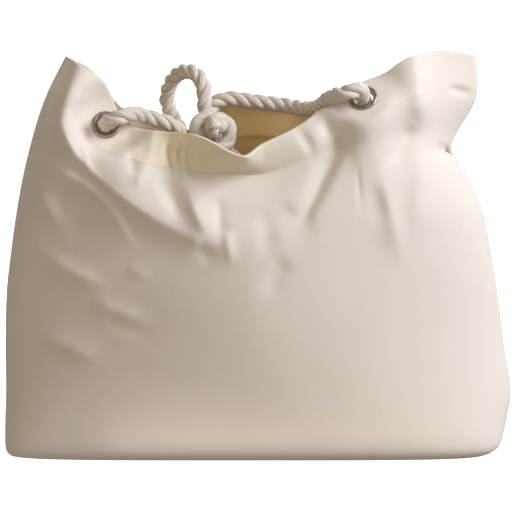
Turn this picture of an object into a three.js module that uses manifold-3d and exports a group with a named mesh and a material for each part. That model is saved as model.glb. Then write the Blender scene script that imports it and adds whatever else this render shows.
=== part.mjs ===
// Canvas beach tote with twisted rope handles, standing filled on a floor.
// Millimetres, +Z up, front towards -Y, floor at z = 0.
import * as THREE from 'three';
import { mergeVertices } from 'three/addons/utils/BufferGeometryUtils.js';
import Module from 'manifold-3d';

const wasm = await Module();
wasm.setup();
const { Manifold, Mesh } = wasm;

// Cloth
const CLOTH_THICKNESS = 2;
const HEM_THICKNESS = 3;
const BASE_THICKNESS = 1.9;
const SEAM_GAP = 0.3;
const COLUMNS_PER_PANEL = 44;
const BODY_TOP = 215;

// Eyelets
const EYELET_HOLE_RADIUS = 9.8;
const EYELET_BARREL_RADIUS = 10.8;
const EYELET_FLANGE_RADIUS = 14;
const EYELET_FLANGE_THICKNESS = 1.5;
const EYELET_GAP = 0.35;
const EYELET_SEGMENTS = 16;
const PATCH_RADIUS = 16.5;
const SHORTEST_EDGE = 0.03;
const FLAT_RADIUS = 22;
const FLAT_FADE = 26;

// Rope
const ROPE_DIAMETER = 16;
const ROPE_PITCH = 41;
const ROPE_STEPS_PER_PITCH = 6;
const ROPE_SIDES = 12;
const STRANDS = 3;
const GROOVE_SHARE = 0.15;
const ROPE_EASING = 30;
const TOUCH_GAP = 0.3;

// Overhand knot on a rope's end: distance from the rope's own axis, turn
// about it in degrees and distance along it. The rope is drawn thinner there.
const KNOT_ROPE_DIAMETER = 15;
const KNOT_DRAW = 14;
const KNOT_STEPS_PER_PITCH = 6;
const KNOT_TURN = [
  { radius: 0, angle: 0, along: 0 },
  { radius: 0, angle: 0, along: 6 },
  { radius: 0, angle: 0, along: 11 },
  { radius: 5, angle: 0, along: 17 },
  { radius: 13, angle: 22, along: 20 },
  { radius: 17, angle: 60, along: 20 },
  { radius: 17.5, angle: 120, along: 20 },
  { radius: 17.5, angle: 180, along: 20 },
  { radius: 17.5, angle: 240, along: 20.5 },
  { radius: 17, angle: 300, along: 23 },
  { radius: 15, angle: 350, along: 28 },
  { radius: 11, angle: 400, along: 32 },
  { radius: 6, angle: 455, along: 35 },
  { radius: 2, angle: 540, along: 41 },
];

// Colours
const CANVAS_COLOUR = 0xe6dccb;
const ROPE_COLOUR = 0xd9cdbb;
const METAL_COLOUR = 0x7b7268;

// Level sections of the filled body, from the base to under the shoulder.
// left and right are the side seams, front and back the deepest points,
// fullness the exponent of the rounded outline (2 is an ellipse).
const LEVELS = [
  { z: 0, left: -249, right: 228, front: -47, back: 46, fullness: 4.2 },
  { z: 3, left: -252, right: 236, front: -52, back: 51, fullness: 4 },
  { z: 9, left: -253.5, right: 243.5, front: -57, back: 55, fullness: 3.6 },
  { z: 30, left: -254, right: 250, front: -66, back: 63, fullness: 2.6 },
  { z: 62, left: -253, right: 255, front: -76, back: 73, fullness: 1.95 },
  { z: 110, left: -253, right: 247.5, front: -85, back: 83, fullness: 1.65 },
  { z: 165, left: -251, right: 240, front: -89, back: 91, fullness: 1.6 },
  { z: BODY_TOP, left: -245, right: 231, front: -86, back: 93, fullness: 1.75 },
];

// Upright sections of the front panel, from the left seam to the right seam.
// at is the share of the panel's width; each row holds the rim, the hem's
// stitch line below it and a point of the shoulder, as x, y, z, and how
// sharply the cloth turns at the stitch line, from 0 to 1.
const FRONT_SECTIONS = [
  { at: 0, rim: [-190, 0, 398], hem: [-208, 0, 363], shoulder: [-231, 0, 290], crease: 0 },
  { at: 0.05, rim: [-177, -16, 393], hem: [-191, -31, 358], shoulder: [-194, -50, 308], crease: 0 },
  { at: 0.12, rim: [-149, -24, 374], hem: [-172, -33, 345], shoulder: [-168, -50, 285], crease: 0 },
  { at: 0.19, rim: [-133, -25, 343], hem: [-158, -38, 319], shoulder: [-150, -52, 272], crease: 0 },
  { at: 0.25, rim: [-110, -34, 329], hem: [-124, -52, 302], shoulder: [-122, -62, 262], crease: 0.3 },
  { at: 0.34, rim: [-61, -67, 325], hem: [-66, -60, 290], shoulder: [-66, -73, 252], crease: 0.9 },
  { at: 0.45, rim: [-14, -95, 305], hem: [-15, -62, 287], shoulder: [-14, -76, 250], crease: 1 },
  { at: 0.5, rim: [5, -81, 316], hem: [13, -62, 288], shoulder: [16, -76, 252], crease: 1 },
  { at: 0.59, rim: [41, -68, 334], hem: [58, -62, 307], shoulder: [64, -74, 262], crease: 0.9 },
  { at: 0.65, rim: [66, -58, 352], hem: [82, -60, 324], shoulder: [90, -70, 274], crease: 0.5 },
  { at: 0.69, rim: [80, -45, 356], hem: [94, -62, 333], shoulder: [103, -68, 281], crease: 0.3 },
  { at: 0.735, rim: [99, -40, 373], hem: [107, -62, 344], shoulder: [119, -64, 289], crease: 0.2 },
  { at: 0.8, rim: [126, -36, 386], hem: [134, -48, 350], shoulder: [140, -56, 296], crease: 0 },
  { at: 0.87, rim: [151, -25, 400], hem: [155, -34, 362], shoulder: [160, -42, 305], crease: 0 },
  { at: 0.94, rim: [184, -12, 404], hem: [187, -18, 366], shoulder: [178, -22, 310], crease: 0 },
  { at: 1, rim: [216, 0, 399], hem: [218, 0, 362], shoulder: [193, 0, 307], crease: 0 },
];

// Upright sections of the back panel, from the left seam to the right seam.
const BACK_SECTIONS = [
  { at: 0, rim: [-190, 0, 398], hem: [-208, 0, 363], shoulder: [-231, 0, 290], crease: 0 },
  { at: 0.08, rim: [-165, 14, 383], hem: [-176, 22, 348], shoulder: [-192, 42, 290], crease: 0 },
  { at: 0.14, rim: [-138, 24, 348], hem: [-148, 35, 313], shoulder: [-164, 54, 273], crease: 0 },
  { at: 0.21, rim: [-114, 36, 335], hem: [-120, 50, 300], shoulder: [-132, 66, 262], crease: 0 },
  { at: 0.3, rim: [-80, 50, 321], hem: [-84, 64, 288], shoulder: [-90, 77, 254], crease: 0.3 },
  { at: 0.355, rim: [-58, 55, 327], hem: [-60, 67, 294], shoulder: [-64, 80, 255], crease: 0.1 },
  { at: 0.42, rim: [-30, 60, 348], hem: [-34, 69, 312], shoulder: [-38, 82, 259], crease: 0 },
  { at: 0.55, rim: [30, 59, 349], hem: [30, 68, 313], shoulder: [28, 83, 261], crease: 0 },
  { at: 0.7, rim: [104, 47, 337], hem: [104, 60, 301], shoulder: [102, 75, 262], crease: 0.3 },
  { at: 0.8, rim: [142, 30, 366], hem: [146, 42, 331], shoulder: [142, 59, 275], crease: 0 },
  { at: 0.9, rim: [178, 14, 394], hem: [182, 22, 358], shoulder: [172, 34, 295], crease: 0 },
  { at: 1, rim: [216, 0, 399], hem: [218, 0, 362], shoulder: [193, 0, 307], crease: 0 },
];

// Soft folds. from, via and to are x, z as seen from the front; depth is
// outwards (negative for a trough); left and right are the widths of the
// two slopes, seen along the fold from its start.
const FOLDS = [
  { panel: 'front', from: [-172, 396], via: [-184, 374], to: [-191, 336], depth: 8, left: 22, right: 14 },
  { panel: 'front', from: [-190, 352], via: [-182, 270], to: [-62, 229], depth: 21, left: 48, right: 15 },
  { panel: 'front', from: [-217, 297], via: [-136, 274], to: [-120, 206], depth: 5.5, left: 10, right: 17 },
  { panel: 'front', from: [-221, 278], via: [-206, 254], to: [-187, 226], depth: 4.5, left: 10, right: 11 },
  { panel: 'front', from: [-192, 278], via: [-172, 252], to: [-174, 214], depth: -4, left: 12, right: 11 },
  { panel: 'front', from: [-214, 209], via: [-180, 184], to: [-137, 176], depth: 4, left: 10, right: 13 },
  { panel: 'front', from: [-168, 166], via: [-135, 148], to: [-98, 140], depth: 3, left: 11, right: 13 },
  { panel: 'front', from: [-90, 287], via: [-87, 264], to: [-68, 243], depth: -10, left: 14, right: 10 },
  { panel: 'front', from: [-68, 272], via: [-60, 250], to: [-45, 224], depth: 7, left: 13, right: 10 },
  { panel: 'front', from: [17, 263], via: [32, 237], to: [64, 233], depth: -6, left: 10, right: 14 },
  { panel: 'front', from: [91, 336], via: [68, 305], to: [47, 257], depth: -15, left: 20, right: 10 },
  { panel: 'front', from: [119, 291], via: [129, 248], to: [143, 192], depth: 6, left: 11, right: 10 },
  { panel: 'front', from: [153, 336], via: [142, 316], to: [123, 284], depth: -8, left: 13, right: 10 },
  { panel: 'front', from: [166, 314], via: [160, 262], to: [152, 214], depth: 5, left: 18, right: 14 },
  { panel: 'front', from: [151, 404], via: [156, 362], to: [161, 322], depth: 7, left: 15, right: 16 },
  { panel: 'back', from: [-190, 340], via: [-150, 270], to: [-80, 210], depth: 10, left: 18, right: 22 },
  { panel: 'back', from: [-84, 284], via: [-78, 240], to: [-60, 180], depth: -8, left: 18, right: 18 },
  { panel: 'back', from: [10, 296], via: [14, 250], to: [30, 200], depth: 5, left: 16, right: 16 },
  { panel: 'back', from: [104, 296], via: [96, 250], to: [70, 190], depth: -9, left: 18, right: 18 },
  { panel: 'back', from: [186, 345], via: [160, 270], to: [120, 200], depth: 8, left: 20, right: 18 },
];

// Eyelets: share of the panel's width and distance below the rim.
const EYELETS = [
  { name: 'eyelet_front_left', panel: 'front', at: 0.187, below: 20 },
  { name: 'eyelet_front_right', panel: 'front', at: 0.735, below: 18 },
  { name: 'eyelet_back_left', panel: 'back', at: 0.3, below: 19 },
  { name: 'eyelet_back_right', panel: 'back', at: 0.7, below: 19 },
];
const HEM_DEPTH = 38;

// Route of each handle from its first knot to its second, as x, y, z, and
// through each eyelet at distances along its axis, outwards positive.
const FRONT_ROUTE = [
  [-145, 1, 300],
  [-146, -1, 311],
  [-148, -9, 322],
  { eyelet: 'eyelet_front_left', out: -8 },
  { eyelet: 'eyelet_front_left', out: 0 },
  { eyelet: 'eyelet_front_left', out: 9 },
  [-144, -47, 337],
  [-137, -50, 340],
  [-129, -46, 342],
  [-121, -36, 343],
  [-112, -28, 341],
  [-100, -27, 337],
  [-87, -25, 333],
  [-77, -18, 325],
  [-70, -7, 311],
  [-64, 6, 298],
  [-60, 20, 290],
  [-58, 33, 295],
  [-57, 41, 309],
  [-55, 43, 326],
  [-50, 45, 340],
  [-42, 47, 349],
  [-30, 48, 353],
  [-10, 48, 351],
  [12, 48, 348],
  [30, 45, 346],
  [44, 34, 344],
  [54, 14, 345],
  [60, -8, 348],
  [64, -26, 352],
  [68, -41, 357.5],
  [72, -54, 360.5],
  [78, -66, 364],
  [87, -73, 366],
  [95, -71, 369],
  { eyelet: 'eyelet_front_right', out: 14 },
  { eyelet: 'eyelet_front_right', out: 6 },
  { eyelet: 'eyelet_front_right', out: 0 },
  { eyelet: 'eyelet_front_right', out: -10 },
  [107, -32, 345],
  [110, -27, 333],
  [112, -26, 321],
];
const BACK_ROUTE = [
  [-52, 6, 317],
  [-56, 15, 314],
  [-64, 26, 310],
  [-75, 37, 303],
  { eyelet: 'eyelet_back_left', out: -10 },
  { eyelet: 'eyelet_back_left', out: 0 },
  { eyelet: 'eyelet_back_left', out: 10 },
  [-80, 79, 321],
  [-88, 84, 334],
  [-93, 80, 349],
  [-89, 69, 366],
  [-81, 57, 377],
  [-71, 45, 381],
  [-61, 35, 378],
  [-54, 28, 366],
  [-53, 25, 348],
  [-51, 26, 336],
  [-46, 27, 324],
  [-38, 26, 311],
  [-24, 22, 295],
  [-4, 18, 278],
  [22, 15, 270],
  [48, 15, 273],
  [70, 17, 286],
  [86, 22, 305],
  [95, 28, 323],
  [99, 36, 337],
  [102, 47, 348],
  [105, 61, 351],
  [109, 76, 349],
  [111, 87, 340],
  [109, 85, 329],
  { eyelet: 'eyelet_back_right', out: 20 },
  { eyelet: 'eyelet_back_right', out: 9 },
  { eyelet: 'eyelet_back_right', out: 0 },
  { eyelet: 'eyelet_back_right', out: -9 },
  [102, 34, 308],
  [101, 29, 297],
  [100, 27, 286],
];

// Handles, the knots at their two ends and the turn of each knot.
const HANDLES = [
  {
    name: 'rope_front',
    route: FRONT_ROUTE,
    knots: [{ name: 'knot_front_left', turn: 200 }, { name: 'knot_front_right', turn: 90 }],
  },
  {
    name: 'rope_back',
    route: BACK_ROUTE,
    knots: [{ name: 'knot_back_left', turn: 60 }, { name: 'knot_back_right', turn: 250 }],
  },
];

function vec(triple) {
  return new THREE.Vector3(...triple);
}

function smoothStep(x) {
  const s = Math.min(Math.max(x, 0), 1);
  return s * s * (3 - 2 * s);
}

// Smooth value of one column at a place between a table's rows.
function between(rows, key, place, read) {
  const last = rows.length - 1;
  let i = 0;
  while (i < last - 1 && rows[i + 1][key] < place) i += 1;
  const slope = (k) => {
    const a = Math.max(k - 1, 0);
    const b = Math.min(k + 1, last);
    return (read(rows[b]) - read(rows[a])) / (rows[b][key] - rows[a][key]);
  };
  const span = rows[i + 1][key] - rows[i][key];
  const s = (place - rows[i][key]) / span;
  const rest = 1 - s;
  return read(rows[i]) * (1 + 2 * s) * rest * rest
    + slope(i) * span * s * rest * rest
    + read(rows[i + 1]) * s * s * (3 - 2 * s)
    - slope(i + 1) * span * s * s * rest;
}

function betweenVec(rows, key, place, column) {
  const axis = (k) => between(rows, key, place, (row) => row[column][k]);
  return new THREE.Vector3(axis(0), axis(1), axis(2));
}

// Half outline of the body at one height, evenly spaced along the cloth.
const OUTLINE_SAMPLES = 120;
const outlines = new Map();
function halfOutline(panel, z) {
  const key = `${panel} ${z}`;
  if (outlines.has(key)) return outlines.get(key);
  const value = (column) => between(LEVELS, 'z', z, (row) => row[column]);
  const middle = (value('left') + value('right')) / 2;
  const reach = (value('right') - value('left')) / 2;
  const depth = value(panel);
  const power = 2 / value('fullness');
  const points = [];
  for (let i = 0; i <= OUTLINE_SAMPLES; i += 1) {
    const angle = Math.PI * (1 - i / OUTLINE_SAMPLES);
    const c = Math.cos(angle);
    const s = Math.max(Math.sin(angle), 0);
    const x = middle + reach * Math.sign(c) * Math.abs(c) ** power;
    points.push(new THREE.Vector3(x, i % OUTLINE_SAMPLES ? depth * s ** power : 0, z));
  }
  const lengths = [0];
  for (let i = 1; i < points.length; i += 1) {
    lengths.push(lengths[i - 1] + points[i].distanceTo(points[i - 1]));
  }
  outlines.set(key, { points, lengths });
  return outlines.get(key);
}

function bodyPoint(panel, at, z) {
  const { points, lengths } = halfOutline(panel, z);
  const wanted = at * lengths[lengths.length - 1];
  let i = 1;
  while (i < lengths.length - 1 && lengths[i] < wanted) i += 1;
  const share = (wanted - lengths[i - 1]) / (lengths[i] - lengths[i - 1]);
  return points[i - 1].clone().lerp(points[i], share);
}

// Point of the unfolded surface. up runs 0 to 1 over the body, then 1 to 2
// to the shoulder, 2 to 3 to the stitch line and 3 to 4 to the rim.
const BELOW_BODY_TOP = 35;
const STITCH_LINE = 3;
const RIM = 4;
function smoothPoint(panel, at, up) {
  if (up <= 1) return bodyPoint(panel, at, up * BODY_TOP);
  const rows = panel === 'front' ? FRONT_SECTIONS : BACK_SECTIONS;
  const stops = [
    bodyPoint(panel, at, BODY_TOP - BELOW_BODY_TOP),
    bodyPoint(panel, at, BODY_TOP),
    betweenVec(rows, 'at', at, 'shoulder'),
    betweenVec(rows, 'at', at, 'hem'),
    betweenVec(rows, 'at', at, 'rim'),
  ];
  const crease = Math.min(Math.max(between(rows, 'at', at, (row) => row.crease), 0), 1);
  const i = Math.min(Math.floor(up), RIM - 1);
  const s = up - i;
  const gap = (k) => stops[k].distanceTo(stops[k + 1]);
  const chord = (k) => stops[k + 1].clone().sub(stops[k]).divideScalar(gap(k));
  const slope = (k) => {
    if (k === RIM) return chord(RIM - 1);
    const weight = gap(k - 1) / (gap(k - 1) + gap(k));
    const soft = chord(k - 1).lerp(chord(k), weight);
    return k === STITCH_LINE ? soft.lerp(chord(i), crease) : soft;
  };
  const rest = 1 - s;
  const point = stops[i].clone().multiplyScalar((1 + 2 * s) * rest * rest)
    .addScaledVector(slope(i), gap(i) * s * rest * rest)
    .addScaledVector(stops[i + 1], s * s * (3 - 2 * s))
    .addScaledVector(slope(i + 1), -gap(i) * s * s * rest);
  if (i === 1) point.x += sideBulge(at, s);
  return point;
}

// Right side of the body swells out over the body's top and tucks in under
// the mouth's corner.
const BULGE_REACH = 10.5;
const BULGE_START = 0.84;
const BULGE_LEAN = 1.3;
function sideBulge(at, s) {
  const side = smoothStep((at - BULGE_START) / (1 - BULGE_START));
  return BULGE_REACH * side * Math.sin(Math.PI * s ** BULGE_LEAN);
}

// Height of the folds at a place on a panel.
const FOLD_STEPS = 12;
const FOLD_FADE = 0.35;
function foldHeight(panel, x, z) {
  let height = 0;
  for (const fold of FOLDS) {
    if (fold.panel !== panel) continue;
    const curve = new THREE.QuadraticBezierCurve(
      new THREE.Vector2(...fold.from), new THREE.Vector2(...fold.via), new THREE.Vector2(...fold.to));
    const place = new THREE.Vector2(x, z);
    let nearest = Infinity;
    let share = 0;
    let width = fold.left;
    let start = curve.getPoint(0);
    for (let i = 1; i <= FOLD_STEPS; i += 1) {
      const end = curve.getPoint(i / FOLD_STEPS);
      const step = end.clone().sub(start);
      const off = place.clone().sub(start);
      const along = Math.min(Math.max(off.dot(step) / step.lengthSq(), 0), 1);
      const away = off.addScaledVector(step, -along);
      if (away.length() < nearest) {
        nearest = away.length();
        share = (i - 1 + along) / FOLD_STEPS;
        width = step.cross(away) > 0 ? fold.left : fold.right;
      }
      start = end;
    }
    const fade = smoothStep(share / FOLD_FADE) * smoothStep((1 - share) / FOLD_FADE);
    height += fold.depth * fade * Math.exp(-((nearest / width) ** 2));
  }
  return height;
}

function normalAt(panel, at, up) {
  const step = 0.004;
  const a0 = Math.max(at - step, 0);
  const a1 = Math.min(at + step, 1);
  const u0 = Math.max(up - step, 0);
  const u1 = Math.min(up + step, RIM);
  const across = smoothPoint(panel, a1, up).sub(smoothPoint(panel, a0, up));
  const rise = smoothPoint(panel, at, u1).sub(smoothPoint(panel, at, u0));
  const normal = across.cross(rise).normalize();
  return panel === 'front' ? normal : normal.negate();
}

function eyeletPlace(eyelet) {
  const up = RIM - eyelet.below / HEM_DEPTH;
  const centre = smoothPoint(eyelet.panel, eyelet.at, up);
  const normal = normalAt(eyelet.panel, eyelet.at, up);
  return { ...eyelet, centre, normal };
}
const eyeletPlaces = EYELETS.map(eyeletPlace);

// Outer surface with its folds, flat where an eyelet is set.
function clothPoint(panel, at, up) {
  const point = smoothPoint(panel, at, up);
  const fade = smoothStep((point.z - 20) / 40) * smoothStep(at / 0.06) * smoothStep((1 - at) / 0.06);
  const height = foldHeight(panel, point.x, point.z) * fade;
  point.y += panel === 'front' ? -height : height;
  for (const { panel: side, centre, normal } of eyeletPlaces) {
    const away = point.distanceTo(centre);
    if (side !== panel || away > FLAT_RADIUS + FLAT_FADE) continue;
    const lift = point.clone().sub(centre).dot(normal);
    point.addScaledVector(normal, -lift * (1 - smoothStep((away - FLAT_RADIUS) / FLAT_FADE)));
  }
  return point;
}

const BODY_ROWS = [0, 4, 11, 24, 45, 75, 110, 145, 180, BODY_TOP].map((z) => z / BODY_TOP);
const TOP_ROWS = [1.35, 1.7, 2, 2.33, 2.67, 3, 3.5, 4];
const ROWS = [...BODY_ROWS, ...TOP_ROWS];

// Rings of the outer surface: front panel left to right, then back panel.
function outerRings() {
  const rings = [];
  for (const up of ROWS) {
    const ring = [];
    for (let i = 0; i < COLUMNS_PER_PANEL; i += 1) {
      ring.push(clothPoint('front', i / COLUMNS_PER_PANEL, up));
    }
    for (let i = COLUMNS_PER_PANEL; i > 0; i -= 1) {
      ring.push(clothPoint('back', i / COLUMNS_PER_PANEL, up));
    }
    rings.push(ring);
  }
  return rings;
}

// Same rings moved inwards by the cloth's thickness.
function innerRings(rings) {
  const count = rings[0].length;
  const last = rings.length - 1;
  return rings.map((ring, r) => ring.map((point, i) => {
    const side = ring[(i + 1) % count].clone().sub(ring[(i + count - 1) % count]);
    const rise = rings[Math.min(r + 1, last)][i].clone().sub(rings[Math.max(r - 1, 0)][i]);
    const inwards = rise.cross(side).normalize();
    const thickness = ROWS[r] >= 3 ? HEM_THICKNESS : CLOTH_THICKNESS;
    const moved = point.clone().addScaledVector(inwards, thickness);
    if (r === 0) moved.z = CLOTH_THICKNESS;
    return moved;
  }));
}

function toManifold(positions, triangles) {
  return new Manifold(new Mesh({
    numProp: 3,
    vertProperties: Float32Array.from(positions.flatMap((p) => [p.x, p.y, p.z])),
    triVerts: Uint32Array.from(triangles),
  }));
}

function fromManifold(solid) {
  const mesh = solid.getMesh();
  const geometry = new THREE.BufferGeometry();
  geometry.setAttribute('position', new THREE.BufferAttribute(mesh.vertProperties, 3));
  geometry.setIndex(new THREE.BufferAttribute(mesh.triVerts, 1));
  return geometry;
}

function geometryToManifold(geometry) {
  geometry.deleteAttribute('normal');
  geometry.deleteAttribute('uv');
  const merged = mergeVertices(geometry, 1e-4);
  return new Manifold(new Mesh({
    numProp: 3,
    vertProperties: Float32Array.from(merged.attributes.position.array),
    triVerts: Uint32Array.from(merged.index.array),
  }));
}

// Closed sewn shell: outer skin, inner skin, rim and flat base.
function shellManifold() {
  const outer = outerRings();
  const inner = innerRings(outer);
  const count = outer[0].length;
  const rows = outer.length;
  const positions = [...outer.flat(), ...inner.flat()];
  const innerStart = count * rows;
  const triangles = [];
  const quad = (a, b, c, d) => triangles.push(a, b, c, a, c, d);
  for (let i = 0; i < count; i += 1) {
    const j = (i + 1) % count;
    for (let r = 0; r < rows - 1; r += 1) {
      const low = r * count;
      const high = low + count;
      quad(low + i, low + j, high + j, high + i);
      quad(innerStart + low + j, innerStart + low + i, innerStart + high + i, innerStart + high + j);
    }
    const rim = (rows - 1) * count;
    quad(rim + i, rim + j, innerStart + rim + j, innerStart + rim + i);
  }
  for (let i = 0; i < COLUMNS_PER_PANEL; i += 1) {
    const a = i;
    const b = i + 1;
    const c = (count - i - 1) % count;
    const d = (count - i) % count;
    const floor = (p, q, r) => {
      if (p === q || q === r || p === r) return;
      triangles.push(p, r, q, innerStart + p, innerStart + q, innerStart + r);
    };
    floor(a, b, c);
    floor(a, c, d);
  }
  return toManifold(positions, triangles);
}

// Outline of a set eyelet from its axis, grown by a clearance.
function eyeletProfile(clearance) {
  const grip = HEM_THICKNESS / 2 + EYELET_GAP - clearance;
  const face = HEM_THICKNESS / 2 + EYELET_GAP + EYELET_FLANGE_THICKNESS + clearance;
  const barrel = EYELET_BARREL_RADIUS + clearance;
  const flange = EYELET_FLANGE_RADIUS + clearance;
  const half = [
    [barrel, grip],
    [flange, grip],
    [flange, face - 0.8],
    [flange - 0.9, face],
    [EYELET_HOLE_RADIUS + 0.9, face],
  ];
  const mirrored = half.map(([r, z]) => [r, -z]).reverse();
  return { half, mirrored };
}

function eyeletGeometry() {
  const { half, mirrored } = eyeletProfile(0);
  const face = half[4][1];
  const hole = [[EYELET_HOLE_RADIUS, face - 0.9], [EYELET_HOLE_RADIUS, 0.9 - face]];
  const loop = [...half, ...hole, ...mirrored, half[0]];
  const points = loop.map(([r, z]) => new THREE.Vector2(r, z));
  return new THREE.LatheGeometry(points, EYELET_SEGMENTS);
}

// Solid that clears an eyelet out of the cloth, hole included.
function eyeletCutter() {
  const { half, mirrored } = eyeletProfile(EYELET_GAP);
  const top = half[4][1];
  const loop = [[0, top], ...half.slice(0, 4).reverse(), ...mirrored.slice(1).reverse(), [0, -top]];
  const points = loop.map(([r, z]) => new THREE.Vector2(r, z));
  return new THREE.LatheGeometry(points.reverse(), EYELET_SEGMENTS);
}

// Turn a solid's +Y axis to an eyelet's axis, its middle half way through the hem.
function placeAtEyelet(object, { centre, normal }) {
  object.position.copy(centre).addScaledVector(normal, -HEM_THICKNESS / 2);
  object.quaternion.setFromUnitVectors(new THREE.Vector3(0, 1, 0), normal);
  object.updateMatrix();
}

function shellWithEyeletHoles() {
  let shell = shellManifold();
  for (const place of eyeletPlaces) {
    const holder = new THREE.Object3D();
    placeAtEyelet(holder, place);
    const patch = new THREE.CylinderGeometry(PATCH_RADIUS, PATCH_RADIUS, HEM_THICKNESS, EYELET_SEGMENTS);
    shell = shell.add(geometryToManifold(patch.applyMatrix4(holder.matrix)));
    shell = shell.subtract(geometryToManifold(eyeletCutter().applyMatrix4(holder.matrix)));
  }
  return shell;
}

// Largest body of a solid, without crumbs cut loose from it.
function mainBody(solid) {
  return solid.decompose().sort((a, b) => b.volume() - a.volume())[0];
}

// Cut pieces of the shell: two panels that meet at the side seams, in the
// plane y = 0, and the base under them.
function bagPieces() {
  const shell = shellWithEyeletHoles();
  const walls = shell.trimByPlane([0, 0, 1], BASE_THICKNESS + SEAM_GAP);
  const solids = {
    front_panel: walls.trimByPlane([0, -1, 0], SEAM_GAP / 2),
    back_panel: walls.trimByPlane([0, 1, 0], SEAM_GAP / 2),
    base_panel: shell.trimByPlane([0, 0, -1], -BASE_THICKNESS),
  };
  return Object.entries(solids).map(([name, solid]) => {
    const piece = mainBody(solid).asOriginal().simplify(SHORTEST_EDGE);
    return { name, geometry: fromManifold(piece) };
  });
}

// Rope along a line of evenly spaced points: a lobe for each strand, turned
// along the line as a right-handed lay.
function ropeRings(line, radiusAt) {
  const tangents = line.map((_, i) => line[Math.min(i + 1, line.length - 1)].clone()
    .sub(line[Math.max(i - 1, 0)]).normalize());
  const side = new THREE.Vector3(0, 0, 1).cross(tangents[0]);
  if (side.length() < 0.1) side.set(1, 0, 0).cross(tangents[0]);
  side.normalize();
  let length = 0;
  return line.map((point, i) => {
    if (i > 0) {
      const bend = new THREE.Quaternion().setFromUnitVectors(tangents[i - 1], tangents[i]);
      side.applyQuaternion(bend);
      length += point.distanceTo(line[i - 1]);
    }
    const other = tangents[i].clone().cross(side);
    const twist = 2 * Math.PI * length / ROPE_PITCH;
    const ring = [];
    for (let k = 0; k < ROPE_SIDES; k += 1) {
      const angle = 2 * Math.PI * k / ROPE_SIDES;
      const lobe = 1 - GROOVE_SHARE + GROOVE_SHARE * Math.cos(STRANDS * angle);
      const reach = radiusAt(length) * lobe;
      ring.push(point.clone()
        .addScaledVector(side, reach * Math.cos(angle + twist))
        .addScaledVector(other, reach * Math.sin(angle + twist)));
    }
    return { point, ring };
  });
}

function ropeManifold(rings) {
  const last = rings.length - 1;
  const positions = [...rings.flatMap(({ ring }) => ring), rings[0].point, rings[last].point];
  const first = rings.length * ROPE_SIDES;
  const triangles = [];
  for (let k = 0; k < ROPE_SIDES; k += 1) {
    const next = (k + 1) % ROPE_SIDES;
    for (let i = 0; i < last; i += 1) {
      const low = i * ROPE_SIDES;
      const high = low + ROPE_SIDES;
      triangles.push(low + k, low + next, high + next, low + k, high + next, high + k);
    }
    triangles.push(first, next, k, first + 1, last * ROPE_SIDES + k, last * ROPE_SIDES + next);
  }
  return toManifold(positions, triangles);
}

// Evenly spaced points along a route, its bends eased as a stiff rope eases them.
function evenLine(points, stepsPerPitch, easing) {
  const curve = new THREE.CatmullRomCurve3(points, false, 'centripetal');
  let line = curve.getSpacedPoints(Math.round(curve.getLength()));
  for (let pass = 0; pass < easing; pass += 1) {
    line = line.map((point, i) => {
      if (i === 0 || i === line.length - 1) return point;
      return line[i - 1].clone().add(line[i + 1]).multiplyScalar(0.5).lerp(point, 0.5);
    });
  }
  const eased = new THREE.CatmullRomCurve3(line);
  return eased.getSpacedPoints(Math.round(curve.getLength() / ROPE_PITCH * stepsPerPitch));
}

function routeLine(route) {
  const points = route.map((stop) => {
    if (Array.isArray(stop)) return vec(stop);
    const { centre, normal } = eyeletPlaces.find(({ name }) => name === stop.eyelet);
    return centre.clone().addScaledVector(normal, stop.out - HEM_THICKNESS / 2);
  });
  return evenLine(points, ROPE_STEPS_PER_PITCH, ROPE_EASING);
}

// Line of the knot that takes up a rope's end, entered in the given direction.
function knotLine(end, direction, turn) {
  const aim = new THREE.Quaternion().setFromUnitVectors(new THREE.Vector3(0, 0, 1), direction);
  const points = KNOT_TURN.map(({ radius, angle, along }) => {
    const spin = THREE.MathUtils.degToRad(angle + turn);
    return new THREE.Vector3(radius * Math.cos(spin), radius * Math.sin(spin), along + TOUCH_GAP)
      .applyQuaternion(aim).add(end);
  });
  return evenLine(points, KNOT_STEPS_PER_PITCH, 0);
}

// Knot as one solid: stretches of rope pressed together, each begun inside
// the one before.
const KNOT_STRETCHES = 3;
const KNOT_OVERLAP = 0.3;
function knotGeometry(line) {
  const thick = ROPE_DIAMETER / 2;
  const thin = KNOT_ROPE_DIAMETER / 2;
  const rings = ropeRings(line, (s) => thick + (thin - thick) * smoothStep(s / KNOT_DRAW));
  const share = (rings.length - 1) / KNOT_STRETCHES;
  let solid = ropeManifold(rings.slice(0, Math.round(share) + 1));
  for (let i = 1; i < KNOT_STRETCHES; i += 1) {
    const first = Math.round(i * share);
    const { point, ring } = rings[first - 1];
    const root = { point, ring: ring.map((p) => p.clone().lerp(point, KNOT_OVERLAP)) };
    const stretch = [root, ...rings.slice(first, Math.round((i + 1) * share) + 1)];
    solid = solid.add(ropeManifold(stretch));
  }
  return fromManifold(mainBody(solid));
}

function addHandle(group, { name, route, knots }) {
  const line = routeLine(route);
  const radius = ROPE_DIAMETER / 2;
  const rope = fromManifold(ropeManifold(ropeRings(line, () => radius)));
  group.add(mesh(name, rope, ROPE_COLOUR, 0.9, 0));
  const ends = [line, [...line].reverse()].map((way) => ({
    end: way[0],
    direction: way[0].clone().sub(way[1]).normalize(),
  }));
  knots.forEach((knot, i) => {
    const { end, direction } = ends[i];
    const geometry = knotGeometry(knotLine(end, direction, knot.turn));
    group.add(mesh(knot.name, geometry, ROPE_COLOUR, 0.9, 0));
  });
}

function mesh(name, geometry, colour, roughness, metalness) {
  const material = new THREE.MeshStandardMaterial({ color: colour, roughness, metalness });
  const piece = new THREE.Mesh(geometry, material);
  piece.name = name;
  return piece;
}

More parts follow.
